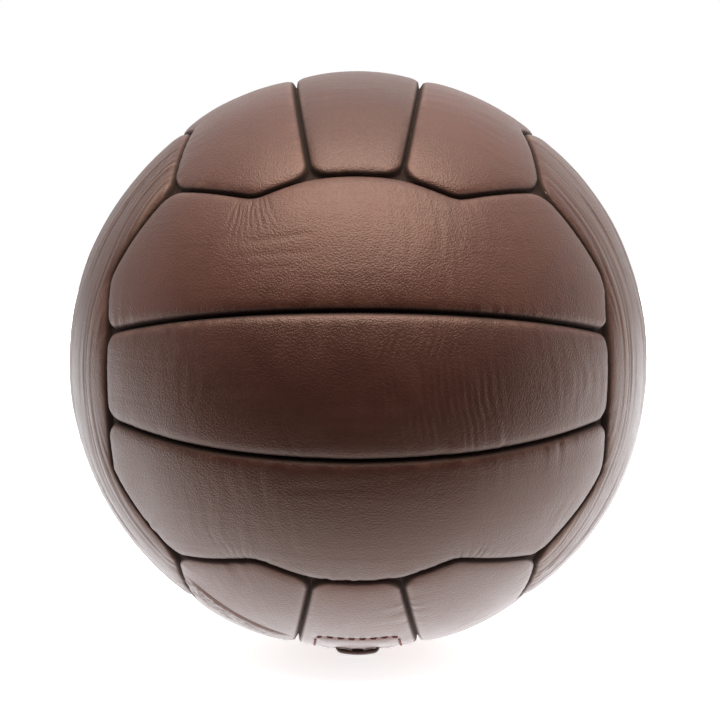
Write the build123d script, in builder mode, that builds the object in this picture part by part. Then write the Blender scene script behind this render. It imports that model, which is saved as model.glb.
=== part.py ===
"""Laced leather ball sewn from eighteen strips: a round size 5 ball of the old pattern.

Frame: millimetres, +Z up, origin at the middle of the ball's underside, where it stands on its lacing.
The front face of the ball looks along -Y and its strips run along X. Top and bottom strips run along Y,
and left and right strips run along Z, so each face's strip ends meet the long edge of a neighbour's strip.

Every face is a set of three strips: one middle strip and two side strips, cut with the same two dies.
A place on a face is given by two slopes: how far along the strips and how far across them it lies for
each unit of distance from the ball's centre. Seams that lie on a great circle are straight lines there.
Each piece is made round the ball's centre, as if its face were the top one, and then carried to its face.
"""

import os
from math import cos, degrees, radians, sin, sqrt, tan

from build123d import *

os.makedirs("parts", exist_ok=True)

# ---- driving dimensions (mm) ----
BALL_RADIUS = 110.0  # crown of the leather: 691 mm round, the middle of size 5
LEATHER = 2.2
LINING = 0.6
TURNED_EDGE_DEPTH = 6.5  # from the crown of the leather to the inner end of a strip's turned-in edge
TURNED_EDGE = 1.5
SEAM_GAP = 0.25  # half the gap between two strips at the leather's surface
SEAM_CHANNEL = 0.7  # half the channel between two turned-in edges, where the seam thread lies
RIM_ROUND = 1.9
CORNER_ROUND = 7.0
THREAD = 0.9
THREAD_RADIUS = 105.4  # from the ball's centre
FIT_GAP = 0.05  # left between layers that are glued or pressed together

BLADDER_RADIUS = 103.4
BLADDER_WALL = 0.5

LACE_RISE = 1.5  # the lacing stands this proud of the leather
LACE_BARS = 9
LACE_PITCH = 9.0
LACE_WIDTH = 5.0
LACE_THICK = 1.4
LACE_HOLE_SPREAD = 7.5  # from the middle of the slit to the middle of a lace hole
LACE_SLACK = 0.4  # room round the lace in its holes
LACE_CROSSING_TOP = 106.45  # from the ball's centre to the lace's runs inside the ball
LACE_CROSSING_THICK = 1.2
LACE_CROSSING_WIDTH = 3.6
LACE_TAIL = 14.0
SLIT_WIDTH = 3.0
SLIT_END_ROUND = 2.2

TONGUE_LENGTH = 124.0
TONGUE_WIDTH = 39.0
TONGUE_OUTSIDE = 105.0  # from the ball's centre
TONGUE_THICK = 1.4

STITCH = 0.8
STITCH_LENGTH = 2.8
STITCH_PITCH = 3.9
STITCH_RISE = 0.2  # a stitch stands this proud of the leather
STITCH_GROOVE = 1.1
STITCH_ROW_LENGTH = 116.0
STITCH_ROW_WIDTH = 34.0
STITCH_ROW_CORNER = 5.0

VALVE_BARREL = 5.0  # radius
VALVE_FLANGE = 12.0  # radius
VALVE_TOP = 109.4  # from the ball's centre
VALVE_BOTTOM = 91.0
VALVE_HOLE_SLACK = 0.4
PLUG = 2.5  # radius
PLUG_HEAD = 3.4  # radius
PLUG_HEAD_THICK = 1.2
PLUG_BOTTOM = 94.0
NEEDLE_BORE = 1.1  # radius, for a standard inflating needle
NEEDLE_BORE_DEPTH = 9.0

# ---- seam pattern, as slopes ----
STRIP_SEAM = tan(radians(12.5))  # the middle strip's long seams
EDGE_FLAT = 0.785  # the face's edge where the next face's middle strip ends
DIP_SLOPE = 0.42  # the edge falls from there to a dip
CORNER_SLOPE = 0.50  # and rises from the dip to the face's corner
SEAM_SOFTNESS = 0.03  # how gently those three lines run into each other

# ---- values worked out from these ----
CENTRE_HEIGHT = BALL_RADIUS + LACE_RISE
SKIN_INSIDE = BALL_RADIUS - LEATHER
LINING_INSIDE = SKIN_INSIDE - LINING
TURNED_EDGE_END = BALL_RADIUS - TURNED_EDGE_DEPTH
LINING_INSET = SEAM_CHANNEL + TURNED_EDGE + FIT_GAP
LACE_STEP = degrees(LACE_PITCH / BALL_RADIUS)
LACE_ANGLES = [LACE_STEP * (i - (LACE_BARS - 1) / 2) for i in range(LACE_BARS)]
SLIT_REACH = LACE_ANGLES[-1] + LACE_STEP / 2

FACES = {  # outward direction, then the direction of the strips
    "front": ((0, -1, 0), (1, 0, 0)),
    "back": ((0, 1, 0), (-1, 0, 0)),
    "top": ((0, 0, 1), (0, 1, 0)),
    "bottom": ((0, 0, -1), (0, -1, 0)),
    "left": ((-1, 0, 0), (0, 0, 1)),
    "right": ((1, 0, 0), (0, 0, -1)),
}
SIDE_STRIPS = {  # the side strip as it was made, then the one turned half round
    "front": ("upper", "lower"),
    "back": ("upper", "lower"),
    "top": ("left", "right"),
    "bottom": ("left", "right"),
    "left": ("back", "front"),
    "right": ("back", "front"),
}
POLES_ASIDE = (90, 0, 0)  # keeps the spheres' poles and seams clear of the strips
HALF_TURN = Rotation(0, 0, 180)


# ---- seam lines ----
def rounded_meeting(a, b, sign):
    """The larger (sign 1) or smaller (sign -1) of two values, with a rounded change between them."""
    return (a + b + sign * sqrt((a - b) ** 2 + SEAM_SOFTNESS**2)) / 2


def raw_edge_slope(t):
    falling = EDGE_FLAT - DIP_SLOPE * (abs(t) - STRIP_SEAM * EDGE_FLAT)
    rising = 1 - CORNER_SLOPE * (1 - abs(t))
    return rounded_meeting(rounded_meeting(EDGE_FLAT, falling, -1), rising, 1)


def edge_slope(t):
    """How far across the strips a face's long edge lies, at t along them; its corners are at -1 and 1."""
    return raw_edge_slope(t) + 1 - raw_edge_slope(1)


def long_edge(start, end, count):
    """Places on a face's long edge."""
    steps = [start + (end - start) * i / (count - 1) for i in range(count)]
    return [(t, edge_slope(t)) for t in steps]


def end_edge(start, end, count):
    """Places on a face's end edge, which is the next face's long edge seen from this one."""
    return [(1 / across, t / across) for t, across in long_edge(start, end, count)]


def strip_seam_end():
    """Where along the next face's edge a strip seam ends."""
    t = STRIP_SEAM
    for _ in range(40):
        t = STRIP_SEAM * edge_slope(t)
    return t


SEAM_END_STEP = strip_seam_end()
SEAM_END = 1 / edge_slope(SEAM_END_STEP)


def straight(start, end, count=5):
    """Places on a straight seam."""
    (x0, y0), (x1, y1) = start, end
    steps = [i / (count - 1) for i in range(count)]
    return [(x0 + (x1 - x0) * s, y0 + (y1 - y0) * s) for s in steps]


def flipped(side):
    """The same seam on the other end of the face, followed the other way."""
    return [(-x, y) for x, y in reversed(side)]


MIDDLE_END = end_edge(-SEAM_END_STEP, SEAM_END_STEP, 5)
MIDDLE_OUTLINE = [
    straight((-SEAM_END, -STRIP_SEAM), (SEAM_END, -STRIP_SEAM)),
    MIDDLE_END,
    straight((SEAM_END, STRIP_SEAM), (-SEAM_END, STRIP_SEAM)),
    flipped(MIDDLE_END),
]
SIDE_END = end_edge(SEAM_END_STEP, 1, 9)
SIDE_OUTLINE = [
    straight((-SEAM_END, STRIP_SEAM), (SEAM_END, STRIP_SEAM)),
    SIDE_END,
    long_edge(1, -1, 21),
    flipped(SIDE_END),
]


# ---- from places on a face to solids ----
def on_ball(place, radius):
    """The point at this distance from the centre, over a place on the face."""
    return Vector(place[0], place[1], 1).normalized() * radius


def left_of(ahead, point):
    """Unit direction across the ball's surface, to the left of the way ahead."""
    return point.cross((ahead - point * ahead.dot(point)).normalized())


def inset_side(before, side, after, amount):
    """One side of an outline moved inwards over the ball, with mitred ends."""
    points = [on_ball(place, 1) for place in side]
    came_from = [on_ball(before[-2], 1)] + points[:-1]
    goes_to = points[1:] + [on_ball(after[1], 1)]
    moved = []
    for last, point, following in zip(came_from, points, goes_to):
        one = left_of(point - last, point)
        other = left_of(following - point, point)
        new = point + (one + other) / (1 + one.dot(other)) * (amount / BALL_RADIUS)
        moved.append((new.X / new.Z, new.Y / new.Z))
    return moved


def outline_block(outline, inset, corner, inner, outer):
    """What lies inside an outline between two spheres round the ball's centre."""
    height = BALL_RADIUS + 2
    sides = len(outline)
    with BuildSketch(Plane.XY.offset(height)) as shape:
        with BuildLine():
            for i, side in enumerate(outline):
                places = inset_side(outline[i - 1], side, outline[(i + 1) % sides], inset)
                Spline(*[(x * height, y * height) for x, y in places])
        make_face()
        fillet(shape.vertices(), corner)
    return cone_block(shape.sketch, inner, outer)


def cone_block(sketch, inner, outer):
    """What lies between two spheres on the straight lines from the ball's centre through a sketch."""
    with BuildPart() as block:
        loft(sections=[sketch.faces()[0], Vertex(0, 0, 0)], ruled=True)
        Sphere(outer, rotation=POLES_ASIDE, mode=Mode.INTERSECT)
        Sphere(inner, rotation=POLES_ASIDE, mode=Mode.SUBTRACT)
    return block.part


def is_outer_rim(edge):
    """True for the edges where a strip's sides meet the leather's outer surface."""
    return all(abs((edge @ at).length - BALL_RADIUS) < 0.01 for at in (0.1, 0.5, 0.9))


def leather_strip(outline):
    """One strip of leather: a skin with rounded rims, and its edges turned in for sewing."""
    with BuildPart() as strip:
        add(outline_block(outline, SEAM_GAP, CORNER_ROUND, SKIN_INSIDE - 0.6, BALL_RADIUS))
        fillet(strip.edges().filter_by(is_outer_rim), RIM_ROUND)
        add(outline_block(outline, SEAM_CHANNEL, CORNER_ROUND - 1, TURNED_EDGE_END, SKIN_INSIDE))
        add(
            outline_block(outline, SEAM_CHANNEL + TURNED_EDGE, 3, TURNED_EDGE_END - 1, SKIN_INSIDE),
            mode=Mode.SUBTRACT,
        )
    return strip.part


def strip_lining(outline):
    """The cotton lining glued inside a strip, between its turned-in edges."""
    with BuildPart() as lining:
        add(outline_block(outline, LINING_INSET, 3, LINING_INSIDE, SKIN_INSIDE - FIT_GAP))
    return lining.part


def outward_plane(angle, distance):
    """A plane facing out from the ball, turned this many degrees along the strips from the face's middle."""
    turn = radians(angle)
    outward = Vector(sin(turn), 0, cos(turn))
    return Plane(origin=outward * distance, x_dir=(cos(turn), 0, -sin(turn)), z_dir=outward)


def crosswise_plane(angle):
    """A plane through the ball's centre, its X across the strips and its Y out of the ball at this angle."""
    turn = radians(angle)
    return Plane(origin=(0, 0, 0), x_dir=(0, 1, 0), z_dir=(cos(turn), 0, -sin(turn)))


def rounded_patch(length, width, corner, inner, outer):
    """A rounded oblong laid on the face's middle, measured over the leather, between two spheres."""
    height = BALL_RADIUS + 2
    along = tan(length / 2 / BALL_RADIUS) * height
    across = tan(width / 2 / BALL_RADIUS) * height
    with BuildSketch(Plane.XY.offset(height)) as shape:
        RectangleRounded(2 * along, 2 * across, corner)
    return cone_block(shape.sketch, inner, outer)


def carry(part, face, name, turn=Rotation(0, 0, 0)):
    """Carries a piece to its face of the ball, and writes it out."""
    outward, along = FACES[face]
    seat = Plane(origin=(0, 0, CENTRE_HEIGHT), x_dir=along, z_dir=outward)
    placed = seat.location * turn * part
    placed.label = name
    export_step(placed, f"parts/{name}.step")


# ---- strips and linings ----
middle_strip = leather_strip(MIDDLE_OUTLINE)
side_strip = leather_strip(SIDE_OUTLINE)
middle_lining = strip_lining(MIDDLE_OUTLINE)
side_lining = strip_lining(SIDE_OUTLINE)

# ---- lacing, on the bottom face ----
with BuildPart() as lace_openings:  # the slit with its round ends, and two rows of punched lace holes
    with BuildSketch(crosswise_plane(-SLIT_REACH)):
        with Locations((0, LINING_INSIDE)):
            Rectangle(SLIT_WIDTH, 12)
    revolve(axis=Axis.Y, revolution_arc=2 * SLIT_REACH)
    for angle in (-SLIT_REACH, SLIT_REACH):
        with Locations(outward_plane(angle, LINING_INSIDE)):
            Cylinder(SLIT_END_ROUND, 12)
    for angle in LACE_ANGLES:
        with Locations(outward_plane(angle, LINING_INSIDE)):
            with Locations((0, -LACE_HOLE_SPREAD), (0, LACE_HOLE_SPREAD)):
                Box(LACE_WIDTH + 2 * LACE_SLACK, LACE_THICK + 2 * LACE_SLACK, 12)

with BuildPart() as lace:  # one thong: bars outside, crossings and two tails inside
    bar_middle = BALL_RADIUS + LACE_RISE - LACE_THICK / 2
    crossing_foot = LACE_CROSSING_TOP - LACE_CROSSING_THICK
    for angle in LACE_ANGLES:
        with BuildSketch(crosswise_plane(angle)):
            with BuildLine():
                FilletPolyline(
                    (-LACE_HOLE_SPREAD, crossing_foot),
                    (-LACE_HOLE_SPREAD, bar_middle),
                    (LACE_HOLE_SPREAD, bar_middle),
                    (LACE_HOLE_SPREAD, crossing_foot),
                    radius=1.3,
                )
            trace(line_width=LACE_THICK)
        extrude(amount=LACE_WIDTH / 2, both=True)
    for angle, following in zip(LACE_ANGLES, LACE_ANGLES[1:]):
        step = radians(following - angle) * LACE_CROSSING_TOP
        with BuildSketch(outward_plane((angle + following) / 2, crossing_foot)):
            with BuildLine():
                Line((-step / 2, LACE_HOLE_SPREAD), (step / 2, -LACE_HOLE_SPREAD))
            trace(line_width=LACE_CROSSING_WIDTH)
        extrude(amount=LACE_CROSSING_THICK)
    tail_turn = degrees(LACE_TAIL / 2 / LACE_CROSSING_TOP)
    for angle, side in ((LACE_ANGLES[0] - tail_turn, -1), (LACE_ANGLES[-1] + tail_turn, 1)):
        with BuildSketch(outward_plane(angle, crossing_foot)):
            with Locations((0, side * LACE_HOLE_SPREAD)):
                SlotOverall(LACE_TAIL + LACE_CROSSING_WIDTH, LACE_CROSSING_WIDTH)
        extrude(amount=LACE_CROSSING_THICK)

lace_tongue = rounded_patch(TONGUE_LENGTH, TONGUE_WIDTH, 8, TONGUE_OUTSIDE - TONGUE_THICK, TONGUE_OUTSIDE)

# ---- the row of stitches that holds the tongue, in its groove round the lacing ----
row_along = tan(STITCH_ROW_LENGTH / 2 / BALL_RADIUS)
row_across = tan(STITCH_ROW_WIDTH / 2 / BALL_RADIUS)
groove_floor = BALL_RADIUS + STITCH_RISE - STITCH - FIT_GAP
groove_round = STITCH_ROW_CORNER + STITCH_GROOVE / 2
with BuildPart() as stitch_groove:
    add(
        rounded_patch(
            STITCH_ROW_LENGTH + STITCH_GROOVE,
            STITCH_ROW_WIDTH + STITCH_GROOVE,
            groove_round,
            groove_floor,
            BALL_RADIUS + 1,
        )
    )
    add(
        rounded_patch(
            STITCH_ROW_LENGTH - STITCH_GROOVE,
            STITCH_ROW_WIDTH - STITCH_GROOVE,
            groove_round - STITCH_GROOVE,
            groove_floor - 1,
            BALL_RADIUS + 2,
        ),
        mode=Mode.SUBTRACT,
    )


def stitch_places():
    """Where the stitches lie and which way they run: both long sides, both ends, and four corners."""
    row_round = STITCH_ROW_CORNER / BALL_RADIUS
    long_count = round((STITCH_ROW_LENGTH - 3 * STITCH_ROW_CORNER) / STITCH_PITCH)
    end_count = round((STITCH_ROW_WIDTH - 3 * STITCH_ROW_CORNER) / STITCH_PITCH)
    places = []
    for side in (-1, 1):
        for i in range(long_count + 1):
            reach = (i - long_count / 2) * STITCH_PITCH / BALL_RADIUS
            places.append(((tan(reach), side * row_across), (1, 0, 0)))
        for i in range(end_count + 1):
            reach = (i - end_count / 2) * STITCH_PITCH / BALL_RADIUS
            places.append(((side * row_along, tan(reach) / cos(STITCH_ROW_LENGTH / 2 / BALL_RADIUS)), (0, 1, 0)))
        for way in (-1, 1):
            corner = row_round * (1 - sin(radians(45)))
            places.append(((side * (row_along - corner), way * (row_across - corner)), (1, -side * way, 0)))
    return places


with BuildPart() as tongue_stitching:
    for place, way in stitch_places():
        middle = on_ball(place, BALL_RADIUS + STITCH_RISE - STITCH / 2)
        outward = middle.normalized()
        along = Vector(*way) - outward * outward.dot(Vector(*way))
        with Locations(Plane(origin=middle, x_dir=outward, z_dir=along)):
            Cylinder(STITCH / 2, STITCH_LENGTH)

with BuildPart() as lace_strip:
    add(middle_strip)
    add(lace_openings.part, mode=Mode.SUBTRACT)
    add(stitch_groove.part, mode=Mode.SUBTRACT)

with BuildPart() as lace_lining:
    add(middle_lining)
    add(lace_openings.part, mode=Mode.SUBTRACT)

# ---- bladder and valve, on the top face ----
with BuildPart() as bladder:
    Sphere(BLADDER_RADIUS, rotation=POLES_ASIDE)
    Sphere(BLADDER_RADIUS - BLADDER_WALL, rotation=POLES_ASIDE, mode=Mode.SUBTRACT)
    with Locations((0, 0, BLADDER_RADIUS)):
        Cylinder(VALVE_BARREL + FIT_GAP, 10, mode=Mode.SUBTRACT)

with BuildPart() as valve_body:  # a curved flange on the bladder, and a barrel with a socket for the plug
    with Locations((0, 0, BLADDER_RADIUS)):
        Cylinder(VALVE_FLANGE, 10)
    Sphere(BLADDER_RADIUS + 1.6, rotation=POLES_ASIDE, mode=Mode.INTERSECT)
    Sphere(BLADDER_RADIUS + FIT_GAP, rotation=POLES_ASIDE, mode=Mode.SUBTRACT)
    with Locations((0, 0, VALVE_BOTTOM)):
        Cylinder(VALVE_BARREL, VALVE_TOP - VALVE_BOTTOM, align=(Align.CENTER, Align.CENTER, Align.MIN))
    with Locations((0, 0, PLUG_BOTTOM)):
        Cylinder(PLUG, 20, align=(Align.CENTER, Align.CENTER, Align.MIN), mode=Mode.SUBTRACT)
    with Locations((0, 0, VALVE_TOP)):
        Cylinder(PLUG_HEAD, 2 * PLUG_HEAD_THICK, mode=Mode.SUBTRACT)

with BuildPart() as valve_plug:
    with Locations((0, 0, VALVE_TOP)):
        Cylinder(PLUG - FIT_GAP, VALVE_TOP - PLUG_BOTTOM - FIT_GAP, align=(Align.CENTER, Align.CENTER, Align.MAX))
        Cylinder(PLUG_HEAD - FIT_GAP, PLUG_HEAD_THICK - FIT_GAP, align=(Align.CENTER, Align.CENTER, Align.MAX))
        Cylinder(
            NEEDLE_BORE,
            NEEDLE_BORE_DEPTH,
            align=(Align.CENTER, Align.CENTER, Align.MAX),
            mode=Mode.SUBTRACT,
        )

with BuildPart() as valve_strip:
    add(middle_strip)
    with Locations((0, 0, BALL_RADIUS)):
        Cylinder(VALVE_BARREL + VALVE_HOLE_SLACK, 12, mode=Mode.SUBTRACT)

with BuildPart() as valve_lining:
    add(middle_lining)
    with Locations((0, 0, BALL_RADIUS)):
        Cylinder(VALVE_BARREL + VALVE_HOLE_SLACK, 12, mode=Mode.SUBTRACT)

# ---- seam threads ----
with BuildPart() as strip_seam_thread:  # along both long seams of the middle strip
    for side in (-STRIP_SEAM, STRIP_SEAM):
        reach = SEAM_END - 0.03
        ends = [on_ball((x, side), THREAD_RADIUS) for x in (-reach, 0, reach)]
        with BuildLine():
            path = ThreePointArc(*ends)
        with BuildSketch(Plane(origin=path @ 0, z_dir=path % 0)):
            Circle(THREAD / 2)
        sweep(path=path)

with BuildPart() as edge_seam_thread:  # along both long edges of the face
    for side in (-1, 1):
        points = [on_ball((x, side * y), THREAD_RADIUS) for x, y in long_edge(-0.965, 0.965, 31)]
        with BuildLine():
            path = Spline(*points)
        with BuildSketch(Plane(origin=path @ 0, z_dir=path % 0)):
            Circle(THREAD / 2)
        sweep(path=path)

# ---- every piece on its face ----
MIDDLE_NAMES = {"top": "top_middle", "bottom": "lace"}
MIDDLE_STRIPS = {"top": valve_strip.part, "bottom": lace_strip.part}
MIDDLE_LININGS = {"top": valve_lining.part, "bottom": lace_lining.part}
for face, (made, turned) in SIDE_STRIPS.items():
    middle = MIDDLE_NAMES.get(face, f"{face}_middle")
    carry(MIDDLE_STRIPS.get(face, middle_strip), face, f"{middle}_panel")
    carry(MIDDLE_LININGS.get(face, middle_lining), face, f"{middle}_lining")
    carry(side_strip, face, f"{face}_{made}_panel")
    carry(side_lining, face, f"{face}_{made}_lining")
    carry(side_strip, face, f"{face}_{turned}_panel", HALF_TURN)
    carry(side_lining, face, f"{face}_{turned}_lining", HALF_TURN)
    carry(strip_seam_thread.part, face, f"{face}_strip_seam_thread")
    carry(edge_seam_thread.part, face, f"{face}_edge_seam_thread")

carry(lace.part, "bottom", "lace")
carry(lace_tongue, "bottom", "lace_tongue")
carry(tongue_stitching.part, "bottom", "tongue_stitching")
carry(bladder.part, "top", "bladder")
carry(valve_body.part, "top", "valve_body")
carry(valve_plug.part, "top", "valve_plug")
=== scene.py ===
"""Laced leather ball of eighteen sewn strips, finished for looks.

Each strip of leather is a closed shell built over the ball in rows along and across the strip: a puffed
face, rims that roll down into the seams, turned-in edges, and the creases and gathers of an old ball.
Lengths are in millimetres until a mesh is written, and the ball's centre is the origin until then.
A place on a face is given by two slopes, along its strips and across them, as in the sewing pattern.
"""

import math

import bpy
import numpy as np
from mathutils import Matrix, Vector


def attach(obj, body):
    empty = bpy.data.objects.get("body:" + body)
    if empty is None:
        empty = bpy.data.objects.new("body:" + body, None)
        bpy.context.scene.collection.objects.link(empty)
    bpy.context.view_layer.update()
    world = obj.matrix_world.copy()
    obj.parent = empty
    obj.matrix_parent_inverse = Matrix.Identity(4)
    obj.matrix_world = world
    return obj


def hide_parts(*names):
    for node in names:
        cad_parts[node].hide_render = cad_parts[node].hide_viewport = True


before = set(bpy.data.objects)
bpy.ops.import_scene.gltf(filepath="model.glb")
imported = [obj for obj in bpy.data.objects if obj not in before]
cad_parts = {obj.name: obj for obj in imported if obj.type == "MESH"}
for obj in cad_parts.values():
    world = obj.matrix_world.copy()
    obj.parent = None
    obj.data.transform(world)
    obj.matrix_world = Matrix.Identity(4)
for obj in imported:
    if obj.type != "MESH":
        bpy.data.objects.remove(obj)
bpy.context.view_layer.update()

# ---- the ball ----
MM = 0.001
BALL_RADIUS = 110.0
LACE_RISE = 1.5
CENTRE_HEIGHT = BALL_RADIUS + LACE_RISE
LEATHER = 2.2
THINNEST_LEATHER = 0.5
TURNED_EDGE = 1.5
TURNED_EDGE_SLACK = 0.05
TURNED_EDGE_RADIUS = 103.6
LACE_PITCH = 9.0
LACE_BARS = 9
LACE_HOLE_SPREAD = 7.5
LACE_WIDTH = 5.0
LACE_THICK = 1.4
LACE_CROWN = 0.9  # how much lower a bar of the lace lies at its holes than over the slit
LACE_BEND = 1.5
LACE_FOOT_RADIUS = 104.4
CROSSING_RADIUS = 105.7
CROSSING_HALF_WIDTH = 1.8
CROSSING_HALF_THICK = 0.5
SLIT_REACH = 40.5
SLIT_HALF_WIDTH = 1.5
STITCH_ROW_HALF_LENGTH = 58.0
STITCH_ROW_HALF_WIDTH = 17.0
STITCH_ROW_CORNER = 5.0
STITCH_PITCH = 3.9
STITCH_HALF_LENGTH = 1.45
STITCH_RADIUS = 0.40
STITCH_RISE = 0.42
STITCH_SUNK = 0.15
VALVE_HOLE = 5.5

# ---- seam pattern ----
STRIP_SEAM = math.tan(math.radians(12.5))
EDGE_FLAT = 0.785
DIP_SLOPE = 0.42
CORNER_SLOPE = 0.50
SEAM_SOFTNESS = 0.03

FACES = {  # outward direction, then the direction of the strips
    "front": ((0, -1, 0), (1, 0, 0)),
    "back": ((0, 1, 0), (-1, 0, 0)),
    "top": ((0, 0, 1), (0, 1, 0)),
    "bottom": ((0, 0, -1), (0, -1, 0)),
    "left": ((-1, 0, 0), (0, 0, 1)),
    "right": ((1, 0, 0), (0, 0, -1)),
}
SIDE_STRIPS = {  # the side strip as it is made, then the one turned half round
    "front": ("upper", "lower"),
    "back": ("upper", "lower"),
    "top": ("left", "right"),
    "bottom": ("left", "right"),
    "left": ("back", "front"),
    "right": ("back", "front"),
}
MIDDLE_NAMES = {"bottom": "lace"}
FACE_SEEDS = {face: 100 * number for number, face in enumerate(SIDE_STRIPS)}
MIDDLE_SEED = 7
SIDE_SEEDS = (40, 60)
STREAKED_STRIPS = ("left_front", "right_front", "left_middle", "right_middle")


# ---- small sums on rows of numbers ----
def smooth(low, high, value):
    """0 below low, 1 above high, and an even curve between."""
    share = np.clip((value - low) / (high - low), 0, 1)
    return share * share * (3 - 2 * share)


def unit(rows):
    return rows / np.linalg.norm(rows, axis=-1, keepdims=True)


def lattice(i, j, k, seed):
    """A fixed random number between -1 and 1 for each whole-numbered point."""
    mixed = (i * 374761393 + j * 668265263 + k * 1440662683 + seed * 982451653) & 0xFFFFFFFF
    mixed = ((mixed ^ (mixed >> 13)) * 1274126177) & 0xFFFFFFFF
    return ((mixed ^ (mixed >> 16)) & 0xFFFF) / 32767.5 - 1


def waves(x, y, z, seed):
    """Even random hills about one unit apart, between -1 and 1."""
    whole = [np.floor(v).astype(np.int64) for v in (x, y, z)]
    part = [v - w for v, w in zip((x, y, z), whole)]
    part = [p * p * (3 - 2 * p) for p in part]
    total = 0
    for corner in range(8):
        step = (corner & 1, corner >> 1 & 1, corner >> 2)
        share = 1
        for p, s in zip(part, step):
            share = share * (p if s else 1 - p)
        total = total + share * lattice(*[w + s for w, s in zip(whole, step)], seed)
    return total


# ---- seam lines ----
def rounded_meeting(a, b, sign):
    return (a + b + sign * np.sqrt((a - b) ** 2 + SEAM_SOFTNESS**2)) / 2


def raw_edge_slope(t):
    falling = EDGE_FLAT - DIP_SLOPE * (np.abs(t) - STRIP_SEAM * EDGE_FLAT)
    rising = 1 - CORNER_SLOPE * (1 - np.abs(t))
    return rounded_meeting(rounded_meeting(EDGE_FLAT, falling, -1), rising, 1)


def edge_slope(t):
    """How far across the strips a face's long edge lies, at t along them; its corners are at -1 and 1."""
    return raw_edge_slope(np.asarray(t, float)) + 1 - raw_edge_slope(1.0)


def seam_end_step():
    """Where along the next face's edge a strip seam ends."""
    t = STRIP_SEAM
    for _ in range(40):
        t = STRIP_SEAM * float(edge_slope(t))
    return t


SEAM_END_STEP = seam_end_step()
SEAM_END = 1 / float(edge_slope(SEAM_END_STEP))


def even_slopes(start, end, share):
    """Slopes between two, evenly spread by angle, for shares of 0 to 1; shares beyond those run on."""
    low, high = math.atan(start), math.atan(end)
    return np.tan(low + (high - low) * share)


def strip_seam(share, side):
    return np.stack([even_slopes(-SEAM_END, SEAM_END, share), np.full_like(share, side)], -1)


def long_edge(share):
    t = even_slopes(-1, 1, share)
    return np.stack([t, edge_slope(t)], -1)


def end_edge(share, start, end, side):
    """A face's end edge on one side (1 or -1), which is the next face's long edge."""
    t = even_slopes(start, end, share)
    across = edge_slope(t)
    return np.stack([side / across, t / across], -1)


STRIPS = {  # near seam, far seam, left end and right end of each kind of strip
    "middle": (
        lambda s: strip_seam(s, -STRIP_SEAM),
        lambda s: strip_seam(s, STRIP_SEAM),
        lambda s: end_edge(s, -SEAM_END_STEP, SEAM_END_STEP, -1),
        lambda s: end_edge(s, -SEAM_END_STEP, SEAM_END_STEP, 1),
    ),
    "side": (
        lambda s: strip_seam(s, STRIP_SEAM),
        long_edge,
        lambda s: end_edge(s, SEAM_END_STEP, 1, -1),
        lambda s: end_edge(s, SEAM_END_STEP, 1, 1),
    ),
}
SEAM_INWARD = (1, -1, -1, 1)  # which side of each seam, followed from its start, the strip lies on
RIM_STEPS = (0, 0.1, 0.22, 0.4, 0.62, 0.9, 1.2, 1.52, 1.6, 2.0, 2.5, 3.1, 3.8, 4.6, 5.5)
ROW_STEP = 0.85
FINE_ROW_STEP = 0.55  # on the face at the front


def rows_from_rim(length, step):
    """Shares of a length: close together at both rims, where the leather rolls over, and even between."""
    rim = np.array(RIM_STEPS)
    count = int((length - 2 * rim[-1]) / step)
    middle = np.linspace(rim[-1], length - rim[-1], count + 1)[1:-1]
    return np.concatenate([rim, middle, length - rim[::-1]]) / length


def on_ball(places):
    """Unit directions for places on a face."""
    return unit(np.concatenate([places, np.ones(places.shape[:-1] + (1,))], -1))


def seam_distance(points, seam, inward):
    """How far points lie from a seam, how far along it, and whether they lie within its length."""
    share = np.linspace(-0.15, 1.15, 521)
    line = on_ball(seam(share)) * BALL_RADIUS
    run = unit(np.gradient(line, axis=0))
    across = np.cross(unit(line), run) * inward
    length = np.concatenate([[0], np.cumsum(np.linalg.norm(np.diff(line, axis=0), axis=1))])
    flat = points.reshape(-1, 3)
    nearest = np.empty(len(flat), int)
    for start in range(0, len(flat), 8000):
        block = flat[start : start + 8000]
        nearest[start : start + 8000] = np.argmax(block @ line.T, axis=1)
    offset = flat - line[nearest]
    away = np.sum(offset * across[nearest], axis=1)
    along = length[nearest] + np.sum(offset * run[nearest], axis=1)
    return away.reshape(points.shape[:-1]), along.reshape(points.shape[:-1])


CORNER_ROUND = 6.5
PILLOW_CORNER = 1.5  # the lower, the rounder a strip's puffed face is at its corners
STRIP_SHARES = (0.9990, 0.9965)  # a strip's length and width beside the seams', clear of the next strip


def rounded_least(a, b):
    """The lesser of two distances, rounded off where both are small, as at a strip's corner."""
    both = (a < CORNER_ROUND) & (b < CORNER_ROUND)
    rounded = CORNER_ROUND - np.hypot(CORNER_ROUND - a, CORNER_ROUND - b)
    return np.where(both, rounded, np.minimum(a, b))


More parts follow.
